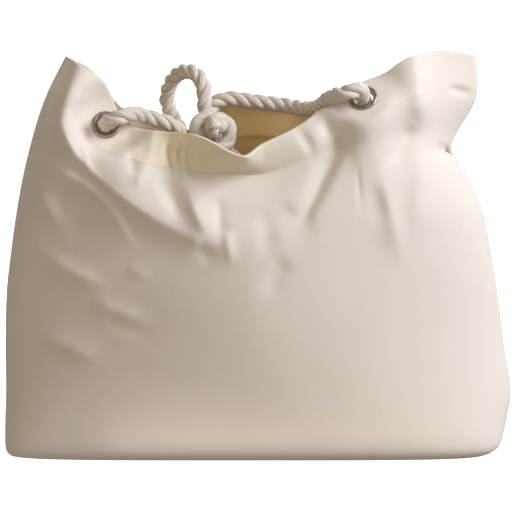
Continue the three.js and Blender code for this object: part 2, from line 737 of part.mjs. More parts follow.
const tote = new THREE.Group();
for (const { name, geometry } of bagPieces()) {
  tote.add(mesh(name, geometry, CANVAS_COLOUR, 0.9, 0));
}
for (const place of eyeletPlaces) {
  const eyelet = mesh(place.name, eyeletGeometry(), METAL_COLOUR, 0.4, 1);
  placeAtEyelet(eyelet, place);
  tote.add(eyelet);
}
for (const handle of HANDLES) addHandle(tote, handle);

export default tote;
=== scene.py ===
"""Canvas beach tote with twisted rope handles, standing filled and slouched on a white floor."""

import math

import bpy
import numpy as np
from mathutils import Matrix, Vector


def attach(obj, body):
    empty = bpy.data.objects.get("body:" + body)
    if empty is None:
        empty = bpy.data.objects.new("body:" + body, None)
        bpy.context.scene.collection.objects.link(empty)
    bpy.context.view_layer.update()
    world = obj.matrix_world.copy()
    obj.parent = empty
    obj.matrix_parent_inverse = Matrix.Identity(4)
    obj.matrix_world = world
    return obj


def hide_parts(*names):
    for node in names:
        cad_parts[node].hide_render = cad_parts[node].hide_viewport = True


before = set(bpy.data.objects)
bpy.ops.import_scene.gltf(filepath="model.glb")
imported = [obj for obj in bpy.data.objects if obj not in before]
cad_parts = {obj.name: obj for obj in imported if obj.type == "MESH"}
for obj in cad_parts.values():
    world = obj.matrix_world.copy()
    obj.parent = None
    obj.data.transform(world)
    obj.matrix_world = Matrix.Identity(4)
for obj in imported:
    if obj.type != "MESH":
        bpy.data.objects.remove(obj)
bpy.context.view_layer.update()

# Lengths below are in millimetres, in the part's own frame: +Z up, front towards -Y.
MM = 0.001

# Camera
CAMERA_DISTANCE = 2.6
CAMERA_ELEVATION = math.radians(7)
CAMERA_TARGET = Vector((0, 0, 0.2))
VIEW_WIDTH = 0.519
SENSOR_WIDTH = 36
CAMERA_SHIFT = (0.0039, -0.0096)

# Light
KEY_PLACE = (1.95, -0.9, 1.5)
KEY_SIZE = 1.2
KEY_POWER = 64
KEY_COLOUR = (0.84, 0.89, 1.0)
FILL_PLACE = (-0.3, -2.6, 0.9)
FILL_SIZE = 1.6
FILL_POWER = 12
BACK_PLACE = (-0.9, 2.4, 1.3)
BACK_SIZE = 1.6
BACK_POWER = 30
SKY_STRENGTH = 0.28
SKY_COLOUR = (1.0, 0.885, 0.745)
BOUNCE_PLACE = (0.05, -0.095, 0.003)
BOUNCE_SIZE = (0.4, 0.045)
BOUNCE_POWER = 0.045
BOUNCE_COLOUR = (1.0, 0.96, 0.9)
FLOOR_REACH = 9
FLOOR_GLOW = 1.0
FLOOR_COLOUR = (0.8, 0.8, 0.8)

# Colours
CANVAS_PALE = (0.805, 0.74, 0.662)
CANVAS_DEEP = (0.768, 0.705, 0.628)
# Inner face: the canvas is the same cream as outside; its ochre is painted warm bounce light
INSIDE_BOUNCE_LIGHT_PALE = (0.9, 0.66, 0.31)
INSIDE_BOUNCE_LIGHT_DEEP = (0.82, 0.58, 0.26)
ROPE_PALE = (0.92, 0.865, 0.79)
# Rope's deep colour: partly its own mottling, partly painted shade in the grooves between yarns
ROPE_DEEP_AND_GROOVE_SHADE = (0.66, 0.58, 0.495)
METAL_DARK = (0.27, 0.235, 0.2)
METAL_WORN = (0.5, 0.45, 0.39)

# Cloth
PANEL_WIDTH = 560
COLUMNS = 206
BODY_TOP = 215
BELOW_BODY_TOP = 35
HEM_DEPTH = 38
HEM_THICKNESS = 3
CLOTH_SHARE = 0.55
STITCH_LINE = 3
RIM = 4
BASE_ROWS = 12

# Eyelets
EYELET_HOLE_RADIUS = 9.8
EYELET_BARREL_RADIUS = 10.8
EYELET_FLANGE_RADIUS = 14
EYELET_FLANGE_THICKNESS = 1.5
EYELET_GAP = 0.35
EYELET_SEGMENTS = 64
FLAT_RADIUS = 22
FLAT_FADE = 26

# Rope
ROPE_DIAMETER = 16
ROPE_PITCH = 41
ROPE_EASING = 30
STRANDS = 3
STRAND_SIDES = 14
ROPE_STEP = 2
KNOT_ROPE_DIAMETER = 15
KNOT_DRAW = 14
TOUCH_GAP = 0.3

# Level sections of the filled body, from the base to under the shoulder.
LEVELS = [
    dict(z=0, left=-249, right=228, front=-47, back=46, fullness=4.2),
    dict(z=3, left=-252, right=236, front=-52, back=51, fullness=4),
    dict(z=9, left=-253.5, right=243.5, front=-57, back=55, fullness=3.6),
    dict(z=30, left=-254, right=250, front=-66, back=63, fullness=2.6),
    dict(z=62, left=-253, right=255, front=-76, back=73, fullness=1.95),
    dict(z=110, left=-253, right=247.5, front=-85, back=83, fullness=1.65),
    dict(z=165, left=-251, right=240, front=-89, back=91, fullness=1.6),
    dict(z=BODY_TOP, left=-245, right=231, front=-86, back=93, fullness=1.75),
]

# Upright sections of each panel, from the left seam to the right seam: the rim,
# the hem's stitch line, a point of the shoulder, and how sharply the cloth
# turns at the stitch line.
FRONT_SECTIONS = [
    dict(at=0, rim=(-190, 0, 398), hem=(-208, 0, 363), shoulder=(-231, 0, 290), crease=0),
    dict(at=0.05, rim=(-177, -16, 393), hem=(-191, -31, 358), shoulder=(-194, -50, 308), crease=0),
    dict(at=0.12, rim=(-149, -24, 374), hem=(-172, -33, 345), shoulder=(-168, -50, 285), crease=0),
    dict(at=0.19, rim=(-133, -25, 343), hem=(-158, -38, 319), shoulder=(-150, -52, 272), crease=0),
    dict(at=0.25, rim=(-110, -34, 329), hem=(-124, -52, 302), shoulder=(-122, -62, 262), crease=0.3),
    dict(at=0.34, rim=(-61, -67, 325), hem=(-66, -60, 290), shoulder=(-66, -73, 252), crease=0.9),
    dict(at=0.45, rim=(-14, -95, 305), hem=(-15, -62, 287), shoulder=(-14, -76, 250), crease=1),
    dict(at=0.5, rim=(5, -81, 316), hem=(13, -62, 288), shoulder=(16, -76, 252), crease=1),
    dict(at=0.59, rim=(41, -68, 334), hem=(58, -62, 307), shoulder=(64, -74, 262), crease=0.9),
    dict(at=0.65, rim=(66, -58, 352), hem=(82, -60, 324), shoulder=(90, -70, 274), crease=0.5),
    dict(at=0.69, rim=(80, -45, 356), hem=(94, -62, 333), shoulder=(103, -68, 281), crease=0.3),
    dict(at=0.735, rim=(99, -40, 373), hem=(107, -62, 344), shoulder=(119, -64, 289), crease=0.2),
    dict(at=0.8, rim=(126, -36, 386), hem=(134, -48, 350), shoulder=(140, -56, 296), crease=0),
    dict(at=0.87, rim=(151, -25, 400), hem=(155, -34, 362), shoulder=(160, -42, 305), crease=0),
    dict(at=0.94, rim=(184, -12, 404), hem=(187, -18, 366), shoulder=(178, -22, 310), crease=0),
    dict(at=1, rim=(216, 0, 399), hem=(218, 0, 362), shoulder=(193, 0, 307), crease=0),
]
BACK_SECTIONS = [
    dict(at=0, rim=(-190, 0, 398), hem=(-208, 0, 363), shoulder=(-231, 0, 290), crease=0),
    dict(at=0.08, rim=(-165, 14, 383), hem=(-176, 22, 348), shoulder=(-192, 42, 290), crease=0),
    dict(at=0.14, rim=(-138, 24, 348), hem=(-148, 35, 313), shoulder=(-164, 54, 273), crease=0),
    dict(at=0.21, rim=(-114, 36, 335), hem=(-120, 50, 300), shoulder=(-132, 66, 262), crease=0),
    dict(at=0.3, rim=(-80, 50, 321), hem=(-84, 64, 288), shoulder=(-90, 77, 254), crease=0.3),
    dict(at=0.355, rim=(-58, 55, 327), hem=(-60, 67, 294), shoulder=(-64, 80, 255), crease=0.1),
    dict(at=0.42, rim=(-30, 60, 348), hem=(-34, 69, 312), shoulder=(-38, 82, 259), crease=0),
    dict(at=0.55, rim=(30, 59, 349), hem=(30, 68, 313), shoulder=(28, 83, 261), crease=0),
    dict(at=0.7, rim=(104, 47, 337), hem=(104, 60, 301), shoulder=(102, 75, 262), crease=0.3),
    dict(at=0.8, rim=(142, 30, 366), hem=(146, 42, 331), shoulder=(142, 59, 275), crease=0),
    dict(at=0.9, rim=(178, 14, 394), hem=(182, 22, 358), shoulder=(172, 34, 295), crease=0),
    dict(at=1, rim=(216, 0, 399), hem=(218, 0, 362), shoulder=(193, 0, 307), crease=0),
]


def fold(start, via, end, depth, left, right, near=0.0, far=0.0, power=2.0):
    """Ridge (or trough, if depth is negative) along a curve in x, z, with the widths of its two slopes.

    near and far are the shares of its depth left at its ends; a power under 2 makes its crest sharper.
    """
    return dict(start=start, via=via, end=end, depth=depth, left=left, right=right,
                near=near, far=far, power=power)


FRONT_FOLDS = [
    # Left: a long ridge from the corner to the middle, and the slack below it
    fold((-168, 398), (-178, 374), (-191, 336), 16, 24, 13, near=0.85, far=0.5),
    fold((-196, 352), (-172, 276), (-62, 229), 25, 48, 15, near=0.5, far=0.4, power=1.6),
    fold((-217, 297), (-136, 274), (-120, 206), 11, 7, 22, near=0.3, power=1.4),
    fold((-221, 278), (-206, 254), (-187, 226), 7, 8, 13, near=0.3, power=1.4),
    fold((-192, 278), (-172, 252), (-174, 214), -4, 12, 10),
    fold((-214, 209), (-180, 184), (-137, 176), 5, 8, 14, near=0.3, power=1.5),
    fold((-130, 194), (-117, 192), (-101, 186), 1.5, 7, 5),
    fold((-168, 166), (-135, 148), (-98, 140), 3, 9, 13, power=1.6),
    fold((-224, 125), (-187, 114), (-148, 101), 4, 16, 7, near=0.2, power=1.5),
    fold((-156, 148), (-128, 134), (-94, 130), -2, 8, 8),
    # Hem between the left eyelet and the middle: gathers
    fold((-128, 334), (-127, 322), (-120, 312), -3, 5, 4, near=0.6, power=1.5),
    fold((-139, 328), (-141, 318), (-142, 308), -2, 4, 4, near=0.4),
    fold((-100, 330), (-103, 318), (-106, 303), 3, 6, 5, near=0.5, far=0.5, power=1.5),
    fold((-127, 311), (-118, 299), (-122, 284), -3, 6, 5, power=1.6),
    fold((-107, 302), (-112, 288), (-120, 270), 3, 6, 6, power=1.6),
    fold((-86, 318), (-88, 304), (-84, 287), -10, 5, 3, near=0.3, far=0.6, power=1.4),
    fold((-77, 316), (-78, 303), (-76, 287), -7, 3, 2.5, near=0.3, far=0.6, power=1.4),
    fold((-68, 315), (-69, 303), (-67, 287), -7, 4, 3, near=0.3, far=0.6, power=1.4),
    fold((-52, 308), (-54, 298), (-52, 287), -2, 4, 4, near=0.3, far=0.6),
    # Middle, under the hem
    fold((-90, 287), (-87, 264), (-68, 243), -10, 13, 6, near=0.7, power=1.6),
    fold((-68, 272), (-60, 250), (-45, 224), 7, 13, 8, near=0.3, power=1.5),
    fold((-37, 268), (-38, 244), (-34, 216), -3, 7, 5, power=1.6),
    fold((-62, 222), (-52, 212), (-38, 200), -3, 9, 8),
    fold((-30, 236), (-29, 220), (-24, 196), 3, 6, 6, power=1.5),
    fold((8, 256), (8, 232), (11, 200), -2.5, 11, 9),
    fold((17, 263), (32, 237), (64, 233), -3, 8, 17),
    fold((30, 210), (19, 189), (4, 165), -2.5, 10, 11),
    # Hem right of the middle
    fold((38, 332), (48, 320), (54, 304), -2.5, 6, 5, near=0.5, far=0.3),
    fold((60, 346), (69, 334), (76, 316), -7, 9, 7, near=0.5, far=0.3, power=1.6),
    # Right: a deep trough from the eyelet and long folds under the corner
    fold((94, 338), (74, 300), (48, 250), -10, 6, 11, near=0.12, far=0.5, power=1.7),
    fold((98, 300), (97, 271), (103, 243), -1, 3, 3),
    fold((119, 291), (129, 248), (145, 186), 5, 12, 12, near=0.2, power=1.4),
    fold((112, 280), (115, 257), (128, 232), -2, 9, 10),
    fold((153, 336), (142, 316), (123, 284), -8, 13, 7, near=0.3, power=1.6),
    fold((166, 314), (160, 262), (152, 214), 5, 18, 14),
    fold((152, 404), (156, 362), (162, 322), 18, 14, 25, near=0.95, power=1.6),
    fold((180, 306), (192, 301), (206, 301), -14, 5, 5, near=0.5, far=0.9),
    fold((187, 367), (200, 364), (214, 361), -4, 4, 4, far=0.6),
]
BACK_FOLDS = [
    fold((-190, 340), (-150, 270), (-80, 210), 10, 18, 22),
    fold((-84, 284), (-78, 240), (-60, 180), -8, 18, 18),
    fold((10, 296), (14, 250), (30, 200), 5, 16, 16),
    fold((104, 296), (96, 250), (70, 190), -9, 18, 18),
    fold((186, 345), (160, 270), (120, 200), 8, 20, 18),
]

PANELS = {
    "front": dict(sections=FRONT_SECTIONS, folds=FRONT_FOLDS),
    "back": dict(sections=BACK_SECTIONS, folds=BACK_FOLDS),
}

# Eyelets: share of the panel's width and distance below the rim.
EYELETS = [
    dict(name="eyelet_front_left", panel="front", at=0.187, below=20),
    dict(name="eyelet_front_right", panel="front", at=0.735, below=18),
    dict(name="eyelet_back_left", panel="back", at=0.3, below=19),
    dict(name="eyelet_back_right", panel="back", at=0.7, below=19),
]

# Route of each handle from its first knot to its second, as x, y, z, and
# through each eyelet at distances along its axis, outwards positive.
FRONT_ROUTE = [
    (-145, 1, 300), (-146, -1, 311), (-148, -9, 322),
    ("eyelet_front_left", -8), ("eyelet_front_left", 0), ("eyelet_front_left", 9),
    (-144, -47, 337), (-137, -50, 340), (-129, -46, 342), (-121, -36, 343), (-112, -28, 341),
    (-100, -27, 337), (-87, -25, 333), (-77, -18, 325), (-70, -7, 311), (-64, 6, 298),
    (-60, 20, 290), (-58, 33, 295), (-57, 41, 309), (-55, 43, 326), (-50, 45, 340),
    (-42, 47, 349), (-30, 48, 353), (-10, 48, 351), (12, 48, 348), (30, 45, 346),
    (44, 34, 344), (54, 14, 345), (60, -8, 348), (64, -26, 352), (68, -41, 357.5),
    (72, -54, 360.5), (78, -66, 364), (87, -73, 366), (95, -71, 369),
    ("eyelet_front_right", 14), ("eyelet_front_right", 6), ("eyelet_front_right", 0),
    ("eyelet_front_right", -10), (107, -32, 345), (110, -27, 333), (112, -26, 321),
]
BACK_ROUTE = [
    (-52, 6, 317), (-56, 15, 314), (-64, 26, 310), (-75, 37, 303),
    ("eyelet_back_left", -10), ("eyelet_back_left", 0), ("eyelet_back_left", 10),
    (-80, 79, 321), (-88, 84, 334), (-93, 80, 349), (-89, 69, 366), (-81, 57, 377),
    (-71, 45, 381), (-61, 35, 378), (-54, 28, 366), (-53, 25, 348), (-51, 26, 336),
    (-46, 27, 324), (-38, 26, 311), (-24, 22, 295), (-4, 18, 278), (22, 15, 270),
    (48, 15, 273), (70, 17, 286), (86, 22, 305), (95, 28, 323), (99, 36, 337),
    (102, 47, 348), (105, 61, 351), (109, 76, 349), (111, 87, 340), (109, 85, 329),
    ("eyelet_back_right", 20), ("eyelet_back_right", 9), ("eyelet_back_right", 0),
    ("eyelet_back_right", -9), (102, 34, 308), (101, 29, 297), (100, 27, 286),
]

# Overhand knot on a rope's end: distance from the rope's own axis, turn about
# it in degrees and distance along it.
KNOT_TURN = [
    dict(radius=0, angle=0, along=0),
    dict(radius=0, angle=0, along=6),
    dict(radius=0, angle=0, along=11),
    dict(radius=5, angle=0, along=17),
    dict(radius=13, angle=22, along=20),
    dict(radius=17, angle=60, along=20),
    dict(radius=17.5, angle=120, along=20),
    dict(radius=17.5, angle=180, along=20),
    dict(radius=17.5, angle=240, along=20.5),
    dict(radius=17, angle=300, along=23),
    dict(radius=15, angle=350, along=28),
    dict(radius=11, angle=400, along=32),
    dict(radius=6, angle=455, along=35),
    dict(radius=2, angle=540, along=41),
]

# Handles, the knots at their two ends and the turn of each knot in degrees.
HANDLES = [
    dict(name="rope_front", route=FRONT_ROUTE, knots=(("knot_front_left", 200), ("knot_front_right", 90))),
    dict(name="rope_back", route=BACK_ROUTE, knots=(("knot_back_left", 60), ("knot_back_right", 250))),
]


# Helpers

def smooth_step(x):
    s = np.clip(x, 0, 1)
    return s * s * (3 - 2 * s)


def unit(v):
    return v / (np.linalg.norm(v, axis=-1, keepdims=True) + 1e-12)


def hermite(a, b, out, into, s):
    """Smooth way from a to b at its share s, leaving along out and arriving along into."""
    rest = 1 - s
    return (a * (1 + 2 * s) * rest * rest + out * s * rest * rest
            + b * s * s * (3 - 2 * s) - into * s * s * rest)


def lengths_along(line):
    """Distance of each point from the line's start, along the line."""
    return np.r_[0, np.cumsum(np.linalg.norm(np.diff(line, axis=0), axis=1))]


def points_at(places, lengths, line):
    """Points of a line at the given distances from its start."""
    return np.stack([np.interp(places, lengths, line[:, k]) for k in range(3)], -1)


def grid_faces(rows, columns, closed, offset=0):
    """Quads of a grid of points, row by row; closed joins the last column to the first."""
    r, c = np.meshgrid(np.arange(rows - 1), np.arange(columns if closed else columns - 1), indexing="ij")
    d = (c + 1) % columns
    quads = np.stack([r * columns + c, r * columns + d, (r + 1) * columns + d, (r + 1) * columns + c], -1)
    return quads.reshape(-1, 4) + offset


def mesh_object(name, points, faces, material):
    """Smooth-shaded object from points in millimetres."""
    mesh = bpy.data.meshes.new(name)
    places = np.asarray(points).reshape(-1, 3) * MM
    mesh.from_pydata(places.tolist(), [], [list(map(int, face)) for face in faces])
    mesh.polygons.foreach_set("use_smooth", np.ones(len(mesh.polygons), bool))
    mesh.materials.append(material)
    made = bpy.data.objects.new(name, mesh)
    bpy.context.scene.collection.objects.link(made)
    return made


def set_uv(made, uv):
    """UV map in metres of cloth or rope, one pair for each point."""
    layer = made.data.uv_layers.new(name="UVMap")
    corners = np.empty(len(made.data.loops), int)
    made.data.loops.foreach_get("vertex_index", corners)
    layer.data.foreach_set("uv", (np.asarray(uv).reshape(-1, 2)[corners] * MM).ravel())


def apply_modifiers(made):
    bpy.context.view_layer.objects.active = made
    for modifier in list(made.modifiers):
        bpy.ops.object.modifier_apply(modifier=modifier.name)


# Cloth surface

def between(rows, key, column, places):
    """Smooth values of one column at places between a table's rows."""
    keys = np.array([row[key] for row in rows], float)
    values = np.array([np.atleast_1d(row[column]) for row in rows], float)
    before = np.r_[0, np.arange(len(rows) - 1)]
    after = np.r_[np.arange(1, len(rows)), len(rows) - 1]
    slopes = (values[after] - values[before]) / (keys[after] - keys[before])[:, None]
    i = np.clip(np.searchsorted(keys, places) - 1, 0, len(keys) - 2)
    span = (keys[i + 1] - keys[i])[:, None]
    s = (np.asarray(places, float) - keys[i])[:, None] / span
    return hermite(values[i], values[i + 1], slopes[i] * span, slopes[i + 1] * span, s)


OUTLINE_SAMPLES = 240


def body_row(panel, ats, z):
    """Points of one panel at one height of the body, evenly spaced along the cloth."""
    level = {key: between(LEVELS, "z", key, [z])[0, 0] for key in LEVELS[0]}
    middle = (level["left"] + level["right"]) / 2
    reach = (level["right"] - level["left"]) / 2
    power = 2 / level["fullness"]
    angle = np.linspace(math.pi, 0, OUTLINE_SAMPLES + 1)
    c = np.cos(angle)
    s = np.clip(np.sin(angle), 0, None)
    s[[0, -1]] = 0
    x = middle + reach * np.sign(c) * np.abs(c) ** power
    y = level[panel] * s ** power
    lengths = np.r_[0, np.cumsum(np.hypot(np.diff(x), np.diff(y)))]
    wanted = ats * lengths[-1]
    x_there = np.interp(wanted, lengths, x)
    y_there = np.interp(wanted, lengths, y)
    return np.stack([x_there, y_there, np.full(len(ats), float(z))], -1)


BULGE_REACH = 10.5
BULGE_START = 0.84
BULGE_LEAN = 1.3


def side_bulge(ats, s):
    """Swelling of the right side over the body's top, tucked in under the mouth's corner."""
    side = smooth_step((ats - BULGE_START) / (1 - BULGE_START))
    return BULGE_REACH * side * math.sin(math.pi * s ** BULGE_LEAN)


def smooth_panel(panel, ats, ups):
    """Panel without its folds. up runs 0 to 1 over the body, then to the shoulder, stitch line and rim."""
    rows = PANELS[panel]["sections"]
    stops = [body_row(panel, ats, BODY_TOP - BELOW_BODY_TOP), body_row(panel, ats, BODY_TOP)]
    stops += [between(rows, "at", column, ats) for column in ("shoulder", "hem", "rim")]
    crease = np.clip(between(rows, "at", "crease", ats), 0, 1)
    gaps = [np.linalg.norm(stops[k + 1] - stops[k], axis=1, keepdims=True) for k in range(RIM)]
    chords = [(stops[k + 1] - stops[k]) / gaps[k] for k in range(RIM)]

    def slope(k, i):
        if k == RIM:
            return chords[RIM - 1]
        weight = gaps[k - 1] / (gaps[k - 1] + gaps[k])
        soft = chords[k - 1] * (1 - weight) + chords[k] * weight
        return soft + (chords[i] - soft) * crease if k == STITCH_LINE else soft

    made = []
    for up in ups:
        if up <= 1:
            made.append(body_row(panel, ats, up * BODY_TOP))
            continue
        i = min(int(up), RIM - 1)
        s = up - i
        row = hermite(stops[i], stops[i + 1], slope(i, i) * gaps[i], slope(i + 1, i) * gaps[i], s)
        if i == 1:
            row[:, 0] += side_bulge(ats, s)
        made.append(row)
    return np.array(made)


# How far beside an eyelet's middle the slope of its panel is taken
PROBE_STEP = 0.004


def eyelet_places():
    """Centre and outward axis of each eyelet on its panel."""
    places = {}
    for row in EYELETS:
        up = RIM - row["below"] / HEM_DEPTH
        ats = np.array([row["at"] - PROBE_STEP, row["at"], row["at"] + PROBE_STEP])
        points = smooth_panel(row["panel"], ats, [up - PROBE_STEP, up, up + PROBE_STEP])
        normal = unit(np.cross(points[1, 2] - points[1, 0], points[2, 1] - points[0, 1]))
        normal = normal if row["panel"] == "front" else -normal
        places[row["name"]] = dict(panel=row["panel"], centre=points[1, 1], normal=normal)
    return places


PLACES = eyelet_places()


# Steps along a fold's path, the width over which one slope turns into the other, and
# the shares of the path over which the fold rises and dies out
FOLD_STEPS = 16
CREST_WIDTH = 3
NEAR_TAPER = 0.35
FAR_TAPER = 0.45


def fold_path(row):
    """Points along the curve that a fold follows."""
    start, via, end = (np.array(row[key], float) for key in ("start", "via", "end"))
    t = np.linspace(0, 1, FOLD_STEPS + 1)[:, None]
    return (1 - t) ** 2 * start + 2 * t * (1 - t) * via + t * t * end


def nearest_on_path(path, x, z):
    """Of points of the cloth: distance from a path, share of the way along it, distance to its
    left and distance past its ends."""
    nearest = np.full(x.shape, np.inf)
    share, side, past = (np.zeros_like(x) for _ in range(3))
    for i in range(FOLD_STEPS):
        step = path[i + 1] - path[i]
        length = np.hypot(*step)
        dx = x - path[i, 0]
        dz = z - path[i, 1]
        reach = (dx * step[0] + dz * step[1]) / (step @ step)
        along = np.clip(reach, 0, 1)
        away = np.hypot(dx - along * step[0], dz - along * step[1])
        closer = away < nearest
        nearest = np.where(closer, away, nearest)
        share = np.where(closer, (i + along) / FOLD_STEPS, share)
        side = np.where(closer, (step[0] * dz - step[1] * dx) / length, side)
        past = np.where(closer, np.abs(reach - along) * length, past)
    return nearest, share, side, past


def fold_height(folds, x, z):
    """Height of the folds over a panel, whose slopes grow alike past the ends of their paths."""
    total = np.zeros_like(x)
    for row in folds:
        nearest, share, side, past = nearest_on_path(fold_path(row), x, z)
        on_left = 0.5 + 0.5 * np.tanh(side / (CREST_WIDTH + past))
        width = row["left"] * on_left + row["right"] * (1 - on_left)
        taper = row["near"] + (1 - row["near"]) * smooth_step(share / NEAR_TAPER)
        taper *= row["far"] + (1 - row["far"]) * smooth_step((1 - share) / FAR_TAPER)
        total += row["depth"] * taper * np.exp(-(nearest / width) ** row["power"])
    return total


def flatten_at_eyelets(panel, points):
    """Cloth held flat by the eyelets set in it."""
    for place in PLACES.values():
        if place["panel"] != panel:
            continue
        off = points - place["centre"]
        away = np.linalg.norm(off, axis=-1, keepdims=True)
        lift = off @ place["normal"]
        hold = 1 - smooth_step((away - FLAT_RADIUS) / FLAT_FADE)
        points = points - place["normal"] * lift[..., None] * hold
    return points


EASE_REACH = 32
EASE_PASSES = 40


def ease_over_body_top(points):
    """Cloth's turn from the filled body to the shoulder, spread over some height."""
    near = 1 - smooth_step(np.abs(points[1:-1, :, 2:] - BODY_TOP) / EASE_REACH)
    for _ in range(EASE_PASSES):
        between_rows = (points[:-2] + points[2:]) / 2
        points[1:-1] += (between_rows - points[1:-1]) * near / 2
    return points


# Where the folds die out: over the base and beside the side seams
FOOT_CLEAR = 15
FOOT_FADE = 40
SEAM_FADE = 0.03


def panel_points(panel, ats, ups):
    """Panel with its folds, held flat at its eyelets."""
    points = ease_over_body_top(smooth_panel(panel, ats, ups))
    fade = smooth_step((points[..., 2] - FOOT_CLEAR) / FOOT_FADE)
    fade = fade * smooth_step(ats / SEAM_FADE) * smooth_step((1 - ats) / SEAM_FADE)
    height = fold_height(PANELS[panel]["folds"], points[..., 0], points[..., 2]) * fade
    points[..., 1] += -height if panel == "front" else height
    return flatten_at_eyelets(panel, points)


# Rows of the cloth's grid: over the body by height, close together at the turn of the foot
# and from where the folds begin, and then a number for each stop up to the rim
TURN_TOP = 12
TURN_ROWS = 6
FOOT_START = 16
FOOT_ROWS = 7
FOLDS_BEGIN = 84
FOLD_ROWS = 35
ROWS_PER_STOP = 20
HEIGHTS = np.r_[np.linspace(0, TURN_TOP, TURN_ROWS), np.linspace(FOOT_START, FOLDS_BEGIN, FOOT_ROWS),
                np.linspace(FOLDS_BEGIN, BODY_TOP, FOLD_ROWS + 1)[1:]]
ROWS = np.r_[HEIGHTS / BODY_TOP, np.linspace(1, RIM, ROWS_PER_STOP * (RIM - 1) + 1)[1:]]

# Columns of the grid: the places along a panel that given shares of them reach, closest
# together under the mouth
COLUMN_SHARES = (0, 0.2, 0.8, 1)
COLUMN_PLACES = (0, 0.22, 0.7, 1)
ATS = np.interp(np.linspace(0, 1, COLUMNS + 1), COLUMN_SHARES, COLUMN_PLACES)
AROUND = 2 * COLUMNS


def cloth_points():
    """Outer surface as rings: front panel left to right, then back panel right to left."""
    front = panel_points("front", ATS, ROWS)
    back = panel_points("back", ATS, ROWS)
    return np.concatenate([front, back[:, COLUMNS - 1:0:-1]], axis=1)


# Materials

def new_material(name):
    material = bpy.data.materials.new(name)
    material.use_nodes = True
    return material, material.node_tree, material.node_tree.nodes["Principled BSDF"]


def set_inputs(tree, node, inputs):
    """Each named input linked to a socket or set to a constant."""
    for key, value in inputs.items():
        if isinstance(value, bpy.types.NodeSocket):
            tree.links.new(value, node.inputs[key])
        else:
            node.inputs[key].default_value = value


def add_node(tree, kind, inputs=None, **settings):
    made = tree.nodes.new(kind)
    for key, value in settings.items():
        setattr(made, key, value)
    set_inputs(tree, made, inputs or {})
    return made


def ramp(tree, source, stops):
    made = add_node(tree, "ShaderNodeValToRGB", {"Fac": source})
    elements = made.color_ramp.elements
    while len(elements) < len(stops):
        elements.new(0.5)
    for element, (position, colour) in zip(elements, stops):
        element.position = position
        element.color = (*colour, 1)
    return made.outputs["Color"]


def cloth_place(tree):
    """Place on the flat cloth or along the rope, in metres."""
    return add_node(tree, "ShaderNodeUVMap", uv_map="UVMap").outputs["UV"]


def object_place(tree):
    return add_node(tree, "ShaderNodeTexCoord").outputs["Object"]


def noise(tree, place, scale, detail, roughness=0.5):
    settings = {"Vector": place, "Scale": scale, "Detail": detail, "Roughness": roughness}
    return add_node(tree, "ShaderNodeTexNoise", settings).outputs["Fac"]


def combined(tree, first, second, operation):
    return add_node(tree, "ShaderNodeMath", {0: first, 1: second}, operation=operation).outputs["Value"]


def relief(tree, height, strength, distance, **under):
    """Normal of a fine relief, laid on another one's normal where that is given."""
    settings = {"Height": height, "Strength": strength, "Distance": distance, **under}
    return add_node(tree, "ShaderNodeBump", settings).outputs["Normal"]


# Canvas: spacing of its threads, sizes of its mottling, slubs and wrinkles, how strong and
# how high in metres the wrinkles and the weave stand, and the tones of its two colours
THREAD_SCALE = 260
MOTTLE_SCALE = 14
SLUB_SCALE = (700, 160, 1)
WRINKLE_SCALE = 30
WRINKLE_STRENGTH = 0.3
WRINKLE_HEIGHT = 0.002
WEAVE_STRENGTH = 0.05
WEAVE_HEIGHT = 0.0004
DEEP_TONE = 0.1
PALE_TONE = 0.45


def threads(tree, place, direction):
    """Threads of the weave that lie side by side in one direction."""
    settings = {"Vector": place, "Scale": THREAD_SCALE, "Distortion": 1.2, "Detail": 1, "Detail Scale": 2}
    return add_node(tree, "ShaderNodeTexWave", settings, bands_direction=direction).outputs["Fac"]


def canvas_material(name, pale, deep):
    """Unbleached plain-weave canvas: soft mottling, slubs along the threads and a fine weave."""
    material, tree, shader = new_material(name)
    on_cloth = cloth_place(tree)
    in_space = object_place(tree)
    mottle = noise(tree, in_space, MOTTLE_SCALE, detail=5, roughness=0.6)
    long_way = add_node(tree, "ShaderNodeMapping", {"Vector": on_cloth, "Scale": SLUB_SCALE})
    slub = noise(tree, long_way.outputs["Vector"], scale=1, detail=2)
    tone = combined(tree, mottle, slub, "MULTIPLY")
    wrinkle = noise(tree, in_space, WRINKLE_SCALE, detail=4, roughness=0.55)
    weave = combined(tree, threads(tree, on_cloth, "X"), threads(tree, on_cloth, "Y"), "MULTIPLY")
    wrinkled = relief(tree, wrinkle, WRINKLE_STRENGTH, WRINKLE_HEIGHT)
    set_inputs(tree, shader, {
        "Base Color": ramp(tree, tone, [(DEEP_TONE, deep), (PALE_TONE, pale)]),
        "Normal": relief(tree, weave, WEAVE_STRENGTH, WEAVE_HEIGHT, Normal=wrinkled),
        "Roughness": 0.92,
        "Specular IOR Level": 0.2,
        "Sheen Weight": 0.12,
        "Sheen Roughness": 0.5,
    })
    return material


# Colour of the hem along the rim, as shares of the way round the bag; its warm stretch is painted warm
# light on the shaded left half of the front hem
HEM_PALE = (0.8, 0.735, 0.652)
# Painted warm light on the hem's shaded stretch, not a colour of the cloth
HEM_WARM_PAINTED_LIGHT = (0.87, 0.77, 0.57)
HEM_TURNS_TO_PAINTED_LIGHT = [(0.1, HEM_PALE), (0.15, HEM_WARM_PAINTED_LIGHT), (0.21, HEM_WARM_PAINTED_LIGHT), (0.27, HEM_PALE)]

# The hem's inner face, warm where light reaches it only off the other panel, and pale in
# the open left corner
INNER_HEM_PALE = (0.8, 0.7, 0.5)
INNER_HEM_WARM = (0.93, 0.7, 0.35)
INNER_HEM_TURNS = [
    (0.14, INNER_HEM_PALE), (0.2, INNER_HEM_WARM), (0.82, INNER_HEM_WARM), (0.9, INNER_HEM_PALE),
]


